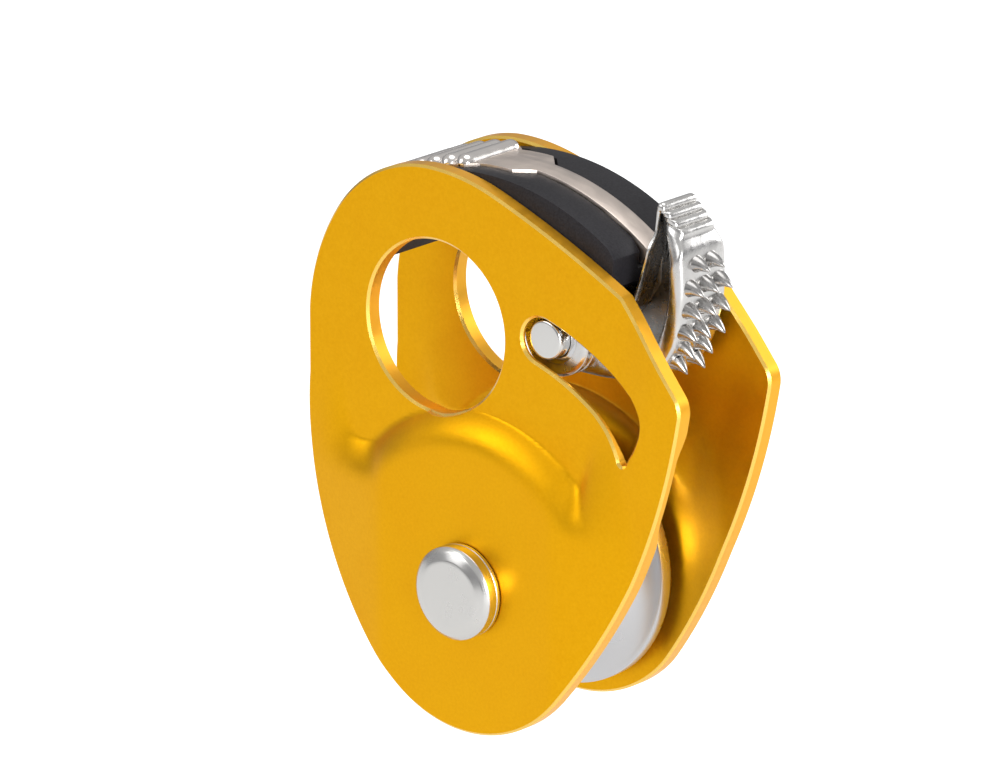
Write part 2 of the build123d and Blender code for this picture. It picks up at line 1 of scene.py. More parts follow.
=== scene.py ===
import math
import bmesh
import bpy
import numpy as np
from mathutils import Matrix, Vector


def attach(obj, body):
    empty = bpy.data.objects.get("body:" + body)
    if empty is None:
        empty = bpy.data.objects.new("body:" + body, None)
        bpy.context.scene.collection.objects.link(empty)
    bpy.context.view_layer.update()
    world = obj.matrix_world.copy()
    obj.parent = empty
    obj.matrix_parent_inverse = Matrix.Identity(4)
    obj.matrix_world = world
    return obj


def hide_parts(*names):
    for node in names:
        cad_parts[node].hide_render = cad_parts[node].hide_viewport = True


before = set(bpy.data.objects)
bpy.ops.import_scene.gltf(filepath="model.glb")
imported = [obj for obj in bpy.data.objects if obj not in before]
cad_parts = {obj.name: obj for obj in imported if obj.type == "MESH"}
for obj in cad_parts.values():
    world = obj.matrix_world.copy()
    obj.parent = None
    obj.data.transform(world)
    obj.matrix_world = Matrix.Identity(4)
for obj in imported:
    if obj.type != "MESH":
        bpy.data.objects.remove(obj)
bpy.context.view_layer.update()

# ---- studio -------------------------------------------------------------------------
# A plain pale floor under the pulley, in a pale tent.  Broad soft lamps stand to the left,
# to the right, above and behind, and the tent is darker low down, which gives the metal
# its contrast.  The camera itself sees the tent and the floor white.
MM = 0.001
VIEW_TURN = math.radians(40.2)
VIEW_RISE = math.radians(17.2)
VIEW_DISTANCE = 1.0
LENS = 322.709               # millimetres, for a sensor of the width below
SENSOR = 36.0
FLOOR_LEVEL = -0.055
FLOOR_SHADE = 0.42
FLOOR_GLOW = 0.46            # what the pieces see of the floor's own light
FLOOR_GLOW_SEEN = 0.9        # what the camera sees of it


def look_from(turn, rise):
    """Unit vector from the object to an eye turned and raised by these angles."""
    flat = math.cos(rise)
    return Vector((math.sin(turn) * flat, -math.cos(turn) * flat, math.sin(rise)))


def aim(thing, place, target):
    thing.location = place
    thing.rotation_euler = (Vector(target) - Vector(place)).to_track_quat("-Z", "Y").to_euler()


camera_data = bpy.data.cameras.new("camera")
camera_data.sensor_width = SENSOR
camera_data.lens = LENS
camera_data.clip_start = 0.05
camera = bpy.data.objects.new("camera", camera_data)
bpy.context.scene.collection.objects.link(camera)
aim_point = Vector((0.14, -4.5, 22.45)) * MM
aim(camera, aim_point + VIEW_DISTANCE * look_from(VIEW_TURN, VIEW_RISE), aim_point)
bpy.context.scene.camera = camera


def soft_lamp(name, place, size, power):
    lamp = bpy.data.lights.new(name, "AREA")
    lamp.shape = "DISK"
    lamp.size = size
    lamp.energy = power
    holder = bpy.data.objects.new(name, lamp)
    bpy.context.scene.collection.objects.link(holder)
    aim(holder, Vector(place), (0, 0, 0.02))


soft_lamp("key_lamp", (-0.35, -0.60, 0.45), 0.50, 1.5)
soft_lamp("right_lamp", (0.62, -0.30, 0.16), 0.40, 5.0)
soft_lamp("top_lamp", (0.05, 0.10, 0.70), 0.60, 1.9)
soft_lamp("rim_lamp", (0.25, 0.60, 0.20), 0.35, 1.5)

bpy.context.scene.view_settings.view_transform = "Standard"
world = bpy.data.worlds.new("studio")
world.use_nodes = True
tent = world.node_tree
facing = tent.nodes.new("ShaderNodeTexCoord")
split = tent.nodes.new("ShaderNodeSeparateXYZ")
tent.links.new(facing.outputs["Generated"], split.inputs[0])
band = tent.nodes.new("ShaderNodeValToRGB")
band.color_ramp.elements[0].position = 0.0
band.color_ramp.elements[0].color = (0.28, 0.28, 0.29, 1)
band.color_ramp.elements[1].position = 0.55
band.color_ramp.elements[1].color = (0.58, 0.58, 0.58, 1)
middle = band.color_ramp.elements.new(0.22)
middle.color = (0.34, 0.34, 0.35, 1)
tent.links.new(split.outputs["Z"], band.inputs["Fac"])
seen = tent.nodes.new("ShaderNodeLightPath")
choose = tent.nodes.new("ShaderNodeMix")
choose.data_type = "RGBA"
tent.links.new(seen.outputs["Is Camera Ray"], choose.inputs["Factor"])
tent.links.new(band.outputs["Color"], choose.inputs[6])
choose.inputs[7].default_value = (1, 1, 1, 1)
tent.links.new(choose.outputs[2], tent.nodes["Background"].inputs["Color"])
bpy.context.scene.world = world

floor_mesh = bpy.data.meshes.new("floor")
reach = 3.0
floor_mesh.from_pydata(
    [(-reach, -reach, FLOOR_LEVEL), (reach, -reach, FLOOR_LEVEL),
     (reach, reach, FLOOR_LEVEL), (-reach, reach, FLOOR_LEVEL)], [], [(0, 1, 2, 3)])
floor = bpy.data.objects.new("floor", floor_mesh)
bpy.context.scene.collection.objects.link(floor)
floor_paint = bpy.data.materials.new("pale_floor")
floor_paint.use_nodes = True
floor_shader = floor_paint.node_tree.nodes["Principled BSDF"]
floor_shader.inputs["Base Color"].default_value = (FLOOR_SHADE, FLOOR_SHADE, FLOOR_SHADE, 1.0)
floor_shader.inputs["Roughness"].default_value = 0.8
floor_shader.inputs["Emission Color"].default_value = (1.0, 1.0, 1.0, 1.0)
glow = floor_paint.node_tree.nodes.new("ShaderNodeMapRange")
glow.inputs["To Min"].default_value = FLOOR_GLOW
glow.inputs["To Max"].default_value = FLOOR_GLOW_SEEN
seen_floor = floor_paint.node_tree.nodes.new("ShaderNodeLightPath")
floor_paint.node_tree.links.new(seen_floor.outputs["Is Camera Ray"], glow.inputs["Value"])
floor_paint.node_tree.links.new(glow.outputs["Result"], floor_shader.inputs["Emission Strength"])
floor_mesh.materials.append(floor_paint)


# ---- side plates ----------------------------------------------------------------------
# Two pressed aluminium sheets, bead-blasted and anodised golden orange, with their cut
# edges machined to a small chamfer, smoother than the faces, whose lighter yellow is a
# painted highlight.  Each is flat at the top, pressed out in a rolled dome over the sheave,
# and stands out slightly beside the cam.
SHEET = 2.2
HALF_GAP = 6.4
STEP = 2.3                   # how far the dome stands out
DOME_FOOT = 20.2
SHOULDER_LEVEL = 13.1         # the raised part spreads to both sides below this
LEFT_FOLD = -19.8
ROLL_WIDTH = 4.4             # of the rounded rise inside the dome's foot
DOME_FULL = 12.0             # the dome has its whole height out to here
DOME_LOST = 24.8             # and none from here
WING_RISE = 0.45
WING_RUN = 7.0
FOLD_FOOT = (14.9, 14.0)     # a point on the wing's fold, which runs square to the next
FOLD_ACROSS = np.array([23.0, -6.5]) / math.hypot(23.0, 6.5)
FADE_RUN = 6.0               # beyond DOME_FULL the step fades over this distance
FADE_FOOT = 8.0              # from this height
FADE_HEIGHT = 16.0           # and wholly this much higher
CHAMFER = 0.28
CELL = 0.62                  # spacing of the mesh lines across the sheet
SHEAVE_RADIUS = 15.0
BOTTOM_RADIUS = SHEAVE_RADIUS + 1.9
LEFT_FOOT, RIGHT_FOOT = -128, -38    # angles where the round bottom ends
SHEET_TOP = 47.3
CAM_X, CAM_Z = 9.1, 30.1
CAM_REACH = math.hypot(CAM_X, CAM_Z)
CAM_ANGLE = math.degrees(math.atan2(CAM_Z, CAM_X))
PIN_RADIUS = 2.35
PIN_PASS = 8.02              # depth of the groove that the cam axle's end passes through
PASS_BLEND = 3.0             # over which the groove's sides rise to the sheet
SLOT_HALF = 2.65
EYE, EYE_RADIUS = -6.1 + 28.9j, 9.9
AXLE_RADIUS = 4.0
BUSH_RADIUS = 5.05
RIVETS, RIVET_RADIUS = (-16.6 + 38.9j, 12.6 + 38.6j), 1.5


def polar(radius, angle, centre=0j):
    """The point at a radius and an angle in degrees, as a complex number x + iz."""
    return centre + radius * np.exp(1j * np.radians(angle))


def arc_to(start, end, heading, count):
    """An arc that leaves start along heading and reaches end: the chord, turned and
    shortened by the sine of the part of the turn made so far.  Leaves out its end."""
    chord = end - start
    half = np.angle(chord / heading)
    part = np.arange(count) / count
    if abs(half) < 1e-6:
        return start + chord * part, heading
    points = start + chord * np.sin(half * part) / np.sin(half) * np.exp(1j * half * (part - 1))
    return points, chord / abs(chord) * np.exp(1j * half)


def circle(radius, centre=0j, count=96):
    return polar(radius, np.linspace(0, 360, count, endpoint=False), centre)


def sheet_outline():
    """Counter-clockwise from the crown: the back, the left side, the round bottom, the
    right side, the wing's corner and the long top slope, each arc tangent to the last."""
    crown = -7 + 1j * (SHEET_TOP - 0.15)
    left_shoulder = -20.6 + 1j * (SHEET_TOP - 7.3)
    left_tip, left_waist = -24.9 + 27.5j, -24.9 + 20j
    wing_corner, wing_tip = 29.1 + 25j, 28.5 + 27.4j
    kink = 20.6 + 1j * (SHEET_TOP - 10.1)
    shoulder = 2.1 + 1j * (SHEET_TOP - 1.75)
    left_foot, right_foot = polar(BOTTOM_RADIUS, LEFT_FOOT), polar(BOTTOM_RADIUS, RIGHT_FOOT)
    back, heading = arc_to(crown, left_shoulder, -1 + 0j, 40)
    fall, _ = arc_to(left_shoulder, left_tip, heading, 26)
    waist = np.linspace(left_tip, left_waist, 12, endpoint=False)
    side, _ = arc_to(left_foot, left_waist, -polar(1, LEFT_FOOT + 90), 60)
    under = polar(BOTTOM_RADIUS, np.linspace(LEFT_FOOT, RIGHT_FOOT, 60, endpoint=False))
    right, heading = arc_to(right_foot, wing_corner, polar(1, RIGHT_FOOT + 90), 70)
    corner, _ = arc_to(wing_corner, wing_tip, heading, 16)
    wing = np.linspace(wing_tip, kink, 24, endpoint=False)
    over, heading = arc_to(crown, shoulder, 1 + 0j, 28)
    slope, _ = arc_to(shoulder, kink, heading, 34)
    return np.concatenate([
        back, fall, waist, np.append(side[1:], left_waist)[::-1], under, right, corner, wing,
        np.append(slope[1:], kink)[::-1], np.append(over[1:], shoulder)[::-1]])


def through(corners, count):
    """A smooth curve through a few points, as a Catmull-Rom spline, without its end."""
    corners = np.array(corners)
    ends = np.concatenate([[2 * corners[0] - corners[1]], corners, [2 * corners[-1] - corners[-2]]])
    place_on = np.arange(count) / count * (len(corners) - 1)
    index = np.floor(place_on).astype(int)
    t = place_on - index
    a, b, c, d = (ends[index + shift] for shift in range(4))
    bend = (2 * a - 5 * b + 4 * c - d) * t ** 2
    return 0.5 * (2 * b + (c - a) * t + bend + (3 * b - 3 * c + d - a) * t ** 3)


def slot_outline():
    """Round about the cam axle, along two arcs about the sheave, and in to a small tip."""
    inner, outer = CAM_REACH - SLOT_HALF, CAM_REACH + SLOT_HALF
    head = polar(SLOT_HALF, np.linspace(CAM_ANGLE, CAM_ANGLE + 180, 24, endpoint=False),
                 polar(CAM_REACH, CAM_ANGLE))
    low_side = polar(inner, np.linspace(CAM_ANGLE, 54, 36, endpoint=False))
    tail = through([
        polar(inner, 54), polar(inner - 0.25, 49.5), polar(inner - 0.7, 45.4),
        polar(inner - 1.05, 42.9), polar(inner - 1.25, 41.9), polar(inner - 1.1, 40.9),
        polar(inner - 0.45, 40.7), polar(inner + 0.3, 41.3), polar(inner + 1.4, 41.9),
        polar(outer - 2.1, 43.5), polar(outer - 0.9, 45.4), polar(outer - 0.3, 47.6),
        polar(outer, 49.8)], 72)
    high_side = polar(outer, np.linspace(49.8, CAM_ANGLE, 36, endpoint=False))
    return np.concatenate([head, low_side, tail, high_side])


def larger(first, second, blend):
    """The larger of two numbers, rounded over where they are about equal."""
    return 0.5 * (first + second + np.sqrt((first - second) ** 2 + blend ** 2))


def smooth(part):
    """A rise from 0 to 1 with level ends."""
    part = np.clip(part, 0, 1)
    return part * part * (3 - 2 * part)


def sheet_rise(x, z):
    """How far the sheet stands out at a place.  One level part lies in the upper middle,
    outside the dome's foot, between the two folds and above the shoulder.  Going out of it
    the sheet rolls over to the step, by 1 - (1 - distance / width) to the power 2.2.  The
    step itself falls off towards the sides, and higher up beside the cam and the eye."""
    beyond = (x - FOLD_FOOT[0]) * FOLD_ACROSS[0] + (z - FOLD_FOOT[1]) * FOLD_ACROSS[1]
    outside = larger(SHOULDER_LEVEL - z, LEFT_FOLD - x, 2.4)
    outside = larger(outside, DOME_FOOT - np.hypot(x, z), 0.7)
    outside = larger(outside, beyond, 0.7)
    roll = 1 - (1 - np.clip(outside / ROLL_WIDTH, 0, 1)) ** 2.2
    aside = np.clip((np.abs(x) - DOME_FULL) / (DOME_LOST - DOME_FULL), 0, 1)
    lost = 1.08 * (np.sqrt(aside * aside + 0.0064) - 0.08)
    fading = 1 - smooth((np.abs(x) - DOME_FULL) / FADE_RUN) * smooth((z - FADE_FOOT) / FADE_HEIGHT)
    dome = STEP * roll * np.clip(1 - lost, 0, 1) * fading
    wing = WING_RISE * smooth(beyond / WING_RUN)
    return larger(dome, wing, 0.06) - 0.03


def over_pin_path(x, z):
    """How far a place takes part in the cam axle's path round the sheave: wholly beside the
    slot, and less and less over the next few millimetres."""
    reach = np.abs(np.hypot(x, z) - CAM_REACH)
    angle = np.degrees(np.arctan2(z, x))
    return smooth(1 - (reach - PIN_RADIUS - 0.3) / PASS_BLEND) * ((angle > 0) & (angle < CAM_ANGLE + 8))


def sheet_mesh(name, loops, outward):
    """The flat blank with its holes and chamfers, cut into small cells, then every point
    moved out by the sheet's rise.  outward is -1 for the front plate and 1 for the rear."""
    blank = bpy.data.curves.new(name + "_blank", "CURVE")
    blank.dimensions = "2D"
    blank.fill_mode = "BOTH"
    blank.extrude = SHEET / 2 - CHAMFER
    blank.bevel_depth = CHAMFER
    blank.bevel_resolution = 0
    blank.offset = -CHAMFER
    for loop in loops:
        spline = blank.splines.new("POLY")
        spline.points.add(len(loop) - 1)
        flat = np.stack([loop.real, loop.imag, np.zeros(len(loop)), np.ones(len(loop))], axis=1)
        spline.points.foreach_set("co", flat.astype(np.float32).ravel())
        spline.use_cyclic_u = True
    holder = bpy.data.objects.new(name + "_blank", blank)
    bpy.context.scene.collection.objects.link(holder)
    filled = holder.evaluated_get(bpy.context.evaluated_depsgraph_get())
    mesh = bpy.data.meshes.new_from_object(filled)
    mesh.name = name
    bpy.data.objects.remove(holder)

    work = bmesh.new()
    work.from_mesh(mesh)
    bmesh.ops.remove_doubles(work, verts=work.verts, dist=1e-4)
    for axis, low, high in ((0, -25.0, 31.0), (1, -17.0, 48.0)):
        normal = Vector((1, 0, 0)) if axis == 0 else Vector((0, 1, 0))
        for place in np.arange(low, high, CELL):
            bmesh.ops.bisect_plane(
                work, geom=work.verts[:] + work.edges[:] + work.faces[:],
                plane_co=normal * float(place) + Vector((0.013, 0.017, 0)), plane_no=normal, dist=1e-5)
    bmesh.ops.remove_doubles(work, verts=work.verts, dist=2e-3)
    work.normal_update()
    for face in work.faces:
        tilt = abs(face.normal.z)
        # Index 1 is the chamfers, painted a lighter orange as highlight; index 2 is the walls.
        face.material_index = 1 if 0.3 < tilt < 0.9 else (2 if tilt <= 0.3 else 0)
        face.smooth = True
    bmesh.ops.triangulate(work, faces=[f for f in work.faces if len(f.verts) > 4])
    work.to_mesh(mesh)
    work.free()

    count = len(mesh.vertices)
    flat = np.empty(count * 3, dtype=np.float32)
    mesh.vertices.foreach_get("co", flat)
    flat = flat.reshape(count, 3)
    depth = HALF_GAP + SHEET / 2 + flat[:, 2] + sheet_rise(flat[:, 0], flat[:, 1])
    if outward < 0:
        inner_face = flat[:, 2] < CHAMFER - SHEET / 2 + 0.01
        lift = over_pin_path(flat[:, 0], flat[:, 1]) * np.maximum(PIN_PASS - depth, 0)
        depth = np.where(inner_face, depth + lift, depth)
    placed = np.stack([flat[:, 0], outward * depth, flat[:, 1]], axis=1) * MM
    mesh.vertices.foreach_set("co", placed.astype(np.float32).ravel())
    if outward > 0:
        mesh.flip_normals()
    mesh.set_sharp_from_angle(angle=math.radians(32))
    mesh.update()
    return mesh


def place(name, mesh, body, slot, materials, nodes=()):
    """Adds a finished mesh as a piece that rides on a body and stands for CAD nodes."""
    piece = bpy.data.objects.new(name, mesh)
    bpy.context.scene.collection.objects.link(piece)
    for material in materials:
        mesh.materials.append(material)
    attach(piece, body)
    if nodes:
        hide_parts(*nodes)
    return piece


class Finish:
    """A Principled material with a few noise and ring patterns read from Object coordinates."""

    def __init__(self, name, colour, metallic, roughness):
        self.material = bpy.data.materials.new(name)
        self.material.use_nodes = True
        self.nodes = self.material.node_tree.nodes
        self.links = self.material.node_tree.links
        self.shader = self.nodes["Principled BSDF"]
        self.shader.inputs["Base Color"].default_value = (*colour, 1.0)
        self.shader.inputs["Metallic"].default_value = metallic
        self.shader.inputs["Roughness"].default_value = roughness
        self.place = self.nodes.new("ShaderNodeTexCoord").outputs["Object"]
        self.bump = None

    def noise(self, size_mm, detail=3.0, stretch=(1, 1, 1)):
        """Cloudy noise whose lumps are about size_mm across."""
        fit = self.nodes.new("ShaderNodeMapping")
        fit.inputs["Scale"].default_value = tuple(s * 1000.0 / size_mm for s in stretch)
        self.links.new(self.place, fit.inputs["Vector"])
        field = self.nodes.new("ShaderNodeTexNoise")
        field.inputs["Scale"].default_value = 1.0
        field.inputs["Detail"].default_value = detail
        self.links.new(fit.outputs["Vector"], field.inputs["Vector"])
        return field.outputs["Fac"]

    def rings(self, centre, pitch_mm):
        """Fine turning marks: a sine of the distance from an axis along Y."""
        split = self.nodes.new("ShaderNodeVectorMath")
        split.operation = "SUBTRACT"
        self.links.new(self.place, split.inputs[0])
        split.inputs[1].default_value = (centre[0], 0, centre[1])
        flatten = self.nodes.new("ShaderNodeVectorMath")
        flatten.operation = "MULTIPLY"
        flatten.inputs[1].default_value = (1, 0, 1)
        self.links.new(split.outputs[0], flatten.inputs[0])
        length = self.nodes.new("ShaderNodeVectorMath")
        length.operation = "LENGTH"
        self.links.new(flatten.outputs[0], length.inputs[0])
        turns = self.nodes.new("ShaderNodeMath")
        turns.operation = "MULTIPLY"
        turns.inputs[1].default_value = 2 * math.pi * 1000.0 / pitch_mm
        self.links.new(length.outputs["Value"], turns.inputs[0])
        wave = self.nodes.new("ShaderNodeMath")
        wave.operation = "SINE"
        self.links.new(turns.outputs[0], wave.inputs[0])
        return wave.outputs[0]

    def spread(self, source, low, high, start=0.3, end=0.7):
        """Maps a pattern onto a range of numbers."""
        fit = self.nodes.new("ShaderNodeMapRange")
        fit.inputs["From Min"].default_value = start
        fit.inputs["From Max"].default_value = end
        fit.inputs["To Min"].default_value = low
        fit.inputs["To Max"].default_value = high
        self.links.new(source, fit.inputs["Value"])
        return fit.outputs["Result"]

    def tint(self, source, first, second, start=0.3, end=0.7):
        """Colours the surface between two colours by a pattern."""
        ramp_node = self.nodes.new("ShaderNodeValToRGB")
        ramp_node.color_ramp.elements[0].position = start
        ramp_node.color_ramp.elements[0].color = (*first, 1.0)
        ramp_node.color_ramp.elements[1].position = end
        ramp_node.color_ramp.elements[1].color = (*second, 1.0)
        self.links.new(source, ramp_node.inputs["Fac"])
        self.links.new(ramp_node.outputs["Color"], self.shader.inputs["Base Color"])

    def roughen(self, source, low, high, start=0.3, end=0.7):
        self.links.new(self.spread(source, low, high, start, end), self.shader.inputs["Roughness"])

    def emboss(self, source, height_mm):
        """Adds a bump of a given height on top of the ones before it."""
        bump = self.nodes.new("ShaderNodeBump")
        bump.inputs["Distance"].default_value = height_mm * MM
        bump.inputs["Strength"].default_value = 1.0
        self.links.new(source, bump.inputs["Height"])
        if self.bump is not None:
            self.links.new(self.bump.outputs["Normal"], bump.inputs["Normal"])
        self.links.new(bump.outputs["Normal"], self.shader.inputs["Normal"])
        self.bump = bump


anodised = Finish("anodised_orange", (0.86, 0.38, 0.008), 1.0, 0.42)
anodised.tint(anodised.noise(0.35, 4.0), (0.82, 0.395, 0.003), (0.88, 0.450, 0.007), 0.25, 0.75)
anodised.roughen(anodised.noise(6.0, 2.0), 0.38, 0.47)
anodised.emboss(anodised.noise(0.18, 2.0), 0.006)
# The chamfers: smoother than the faces, in a lighter yellow orange that is a painted highlight.
chamfer_painted_highlight = Finish("orange_edge_painted_highlight", (0.95, 0.62, 0.13), 0.9, 0.22)
chamfer_painted_highlight.roughen(chamfer_painted_highlight.noise(1.5), 0.18, 0.28)
cut_edge = Finish("orange_cut_edge", (0.86, 0.42, 0.02), 0.8, 0.34)
cut_edge.roughen(cut_edge.noise(0.8, 2.0, (1, 0.15, 1)), 0.30, 0.40)

sheet_finishes = [anodised.material, chamfer_painted_highlight.material, cut_edge.material]
front_loops = [sheet_outline(), circle(EYE_RADIUS, EYE, 120), circle(BUSH_RADIUS), slot_outline()]
rear_loops = [sheet_outline(), circle(EYE_RADIUS, EYE, 120), circle(AXLE_RADIUS)]
rear_loops += [circle(PIN_RADIUS, CAM_X + 1j * CAM_Z)]
rear_loops += [circle(RIVET_RADIUS, centre, 40) for centre in RIVETS]
place("front_sheet", sheet_mesh("front_sheet", front_loops, -1), "mobile_plate", "anodised_plate",
      sheet_finishes, ["front_side_plate"])
place("rear_sheet", sheet_mesh("rear_sheet", rear_loops, 1), "frame", "anodised_plate",
      sheet_finishes, ["rear_side_plate"])

# ---- sheave axle ----------------------------------------------------------------------
# A stainless pin turned on a lathe.  Its head has a flat face and a rounded bevel, over a
# loose washer, and its rear end is riveted over a plain collar.
FRONT_FACE = HALF_GAP + STEP + SHEET


def ring_skin(rings, loop=False):
    """Points and faces of a closed skin.  Each ring of points is joined to the next by
    quads, and the ends are closed by fans about their middles, or joined in a loop."""
    count, around = rings.shape[:2]
    steps = count if loop else count - 1
    k, j = np.meshgrid(np.arange(steps), np.arange(around), indexing="ij")
    here, there, after = k * around, (k + 1) % count * around, (j + 1) % around
    faces = np.stack([here + j, there + j, there + after, here + after], axis=-1)
    faces = faces.reshape(-1, 4).tolist()
    points = rings.reshape(-1, 3)
    if not loop:
        j = np.arange(around)
        for ring_index, middle_index in ((0, count * around), (count - 1, count * around + 1)):
            middle = np.full(around, middle_index)
            faces += np.stack([middle, ring_index * around + j, ring_index * around + (j + 1) % around],
                              axis=-1).tolist()
        points = np.concatenate([points, rings[[0, -1]].mean(axis=1)])
    return points, faces


def skin_mesh(name, skins, crease=32):
    """One mesh of several closed skins, given in millimetres, with their faces outward."""
    points = []
    faces = []
    for skin_points, skin_faces in skins:
        start = sum(len(earlier) for earlier in points)
        points.append(skin_points)
        faces += [[start + index for index in face] for face in skin_faces]
    mesh = bpy.data.meshes.new(name)
    mesh.from_pydata((np.concatenate(points) * MM).tolist(), [], faces)
    work = bmesh.new()
    work.from_mesh(mesh)
    bmesh.ops.recalc_face_normals(work, faces=work.faces)
    for face in work.faces:
        face.smooth = True
    work.to_mesh(mesh)
    work.free()
    mesh.set_sharp_from_angle(angle=math.radians(crease))
    return mesh


def turned(profile, centre=(0.0, 0.0), count=96):
    """Rings of a turned form: each (radius, y) of the profile carried round an axis on Y."""
    radius, depth = np.array(profile, float).T
    turn = np.linspace(0, 2 * np.pi, count, endpoint=False)
    x = centre[0] + radius[:, None] * np.cos(turn)
    z = centre[1] + radius[:, None] * np.sin(turn)
    return np.stack([x, np.broadcast_to(depth[:, None], x.shape), z], axis=-1)


def rounded(corners, radius, steps=4):
    """A profile with each inner corner replaced by a small quadratic curve."""
    corners = np.array(corners, float)
    points = [corners[:1]]
    for before, corner, after in zip(corners, corners[1:], corners[2:]):
        reach_in = min(radius, np.linalg.norm(before - corner) * 0.45)
        reach_out = min(radius, np.linalg.norm(after - corner) * 0.45)
        start = corner + (before - corner) / np.linalg.norm(before - corner) * reach_in
        end = corner + (after - corner) / np.linalg.norm(after - corner) * reach_out
        part = np.linspace(0, 1, steps)[:, None]
        points.append((1 - part) ** 2 * start + 2 * part * (1 - part) * corner + part ** 2 * end)
    points.append(corners[-1:])
    return np.concatenate(points)


def machined(node, body, slot, materials, edge):
    """The CAD piece merged, its flat faces made whole and its sharp edges broken round."""
    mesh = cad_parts[node].data.copy()
    mesh.name = node + "_finished"
    mesh.materials.clear()
    if "custom_normal" in mesh.attributes:
        mesh.attributes.remove(mesh.attributes["custom_normal"])
    work = bmesh.new()
    work.from_mesh(mesh)
    bmesh.ops.remove_doubles(work, verts=work.verts, dist=2e-6)
    bmesh.ops.dissolve_limit(work, angle_limit=math.radians(0.6), verts=work.verts, edges=work.edges)
    sharp = [e for e in work.edges if len(e.link_faces) == 2 and e.calc_face_angle() > math.radians(35)]
    bmesh.ops.bevel(work, geom=sharp, offset=edge * MM, offset_type="OFFSET", segments=2, profile=0.6,
                    affect="EDGES", clamp_overlap=True, material=-1)
    for face in work.faces:
        face.smooth = True
        face.material_index = 0
    work.to_mesh(mesh)
    work.free()
    mesh.set_sharp_from_angle(angle=math.radians(38))
    return place(node + "_finished", mesh, body, slot, materials, [node])


turned_steel = Finish("turned_steel", (0.66, 0.65, 0.63), 1.0, 0.24)
turned_steel.emboss(turned_steel.rings((0, 0), 0.16), 0.0012)
turned_steel.roughen(turned_steel.noise(3.0), 0.2, 0.3)

head_low = FRONT_FACE + 0.7
head_high = head_low + 2.1
axle_profile = rounded([
    (0.02, -head_high), (3.7, -head_high), (4.0, -head_high + 0.06), (4.9, -head_high + 0.42),
    (5.4, -head_high + 0.85), (5.4, -head_low + 0.02), (4.0, -head_low), (4.0, FRONT_FACE + 1.9),
    (3.5, FRONT_FACE + 2.4), (0.02, FRONT_FACE + 2.4)], 0.12)
place("axle_finished", skin_mesh("axle_finished", [ring_skin(turned(axle_profile))]), "frame",
      "axle_steel", [turned_steel.material], ["sheave_axle"])
washer_profile = rounded([
    (4.05, -head_low), (5.3, -head_low), (5.4, -head_low + 0.1), (5.4, -FRONT_FACE - 0.2),
    (5.3, -FRONT_FACE - 0.1), (4.05, -FRONT_FACE - 0.1)], 0.05)
place("washer_finished", skin_mesh("washer_finished", [ring_skin(turned(washer_profile), True)]),
      "frame", "axle_steel", [turned_steel.material], ["axle_washer"])
collar_profile = rounded([
    (4.0, FRONT_FACE), (5.7, FRONT_FACE), (5.7, FRONT_FACE + 1.6), (5.0, FRONT_FACE + 2.2),
    (4.0, FRONT_FACE + 2.2)], 0.15)
place("collar_finished", skin_mesh("collar_finished", [ring_skin(turned(collar_profile), True)]),
      "frame", "axle_steel", [turned_steel.material], ["axle_rear_collar"])


# ---- plate bush -----------------------------------------------------------------------
# A machined bronze bush pressed in the mobile plate, so that it swings on the axle
# without wearing the sheet.
bronze = Finish("bush_bronze", (0.62, 0.42, 0.18), 1.0, 0.32)
bronze.emboss(bronze.rings((0, 0), 0.12), 0.001)
bronze.roughen(bronze.noise(2.0), 0.26, 0.38)
machined("plate_bush", "mobile_plate", "brass", [bronze.material], 0.08)


# ---- sheave and bearing -----------------------------------------------------------------
# The rope wheel is turned from aluminium bar, with a round groove.  It is bored for a
# sealed ball bearing, which a sprung ring keeps in, and two collars centre it.
turned_alloy = Finish("turned_alloy", (0.60, 0.60, 0.61), 1.0, 0.30)
turned_alloy.emboss(turned_alloy.rings((0, 0), 0.22), 0.0015)
turned_alloy.roughen(turned_alloy.noise(5.0), 0.26, 0.36)
machined("sheave", "sheave_wheel", "sheave_alloy", [turned_alloy.material], 0.18)

ground_steel = Finish("ground_steel", (0.63, 0.63, 0.64), 1.0, 0.18)
ground_steel.roughen(ground_steel.noise(1.2), 0.14, 0.22)
for ring_name in ("bearing_outer_race", "bearing_circlip"):
    machined(ring_name, "sheave_wheel", "bearing_steel", [ground_steel.material], 0.08)
machined("bearing_inner_race", "frame", "bearing_steel", [ground_steel.material], 0.08)

rubber = Finish("seal_rubber", (0.022, 0.022, 0.024), 0.0, 0.55)
rubber.emboss(rubber.noise(0.12), 0.004)
rubber.roughen(rubber.noise(2.0), 0.48, 0.62)
for seal in ("bearing_seal_front", "bearing_seal_rear"):
    machined(seal, "sheave_wheel", "seal_rubber", [rubber.material], 0.05)

for hidden in ("bearing_balls", "bearing_cage"):
    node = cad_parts[hidden]
    node.data.materials.clear()
    node.data.materials.append(ground_steel.material if hidden == "bearing_balls" else bronze.material)

for collar in ("bearing_spacer_front", "bearing_spacer_rear"):
    machined(collar, "frame", "axle_steel", [turned_steel.material], 0.12)


# ---- spacer block -----------------------------------------------------------------------
# An injection-moulded block of black glass-filled nylon between the plates, with rounded
# edges and a fine spark-eroded grain.  Two steel rivets hold it to the fixed plate.
nylon = Finish("black_nylon", (0.014, 0.013, 0.015), 0.0, 0.5)
nylon.tint(nylon.noise(0.25, 4.0), (0.010, 0.009, 0.011), (0.020, 0.019, 0.022))
nylon.shader.inputs["Specular IOR Level"].default_value = 0.2
nylon.roughen(nylon.noise(4.0), 0.42, 0.56)
nylon.emboss(nylon.noise(0.16, 2.0), 0.012)
machined("spacer_block", "frame", "black_nylon", [nylon.material], 0.32)
machined("block_rivets", "frame", "axle_steel", [turned_steel.material], 0.22)


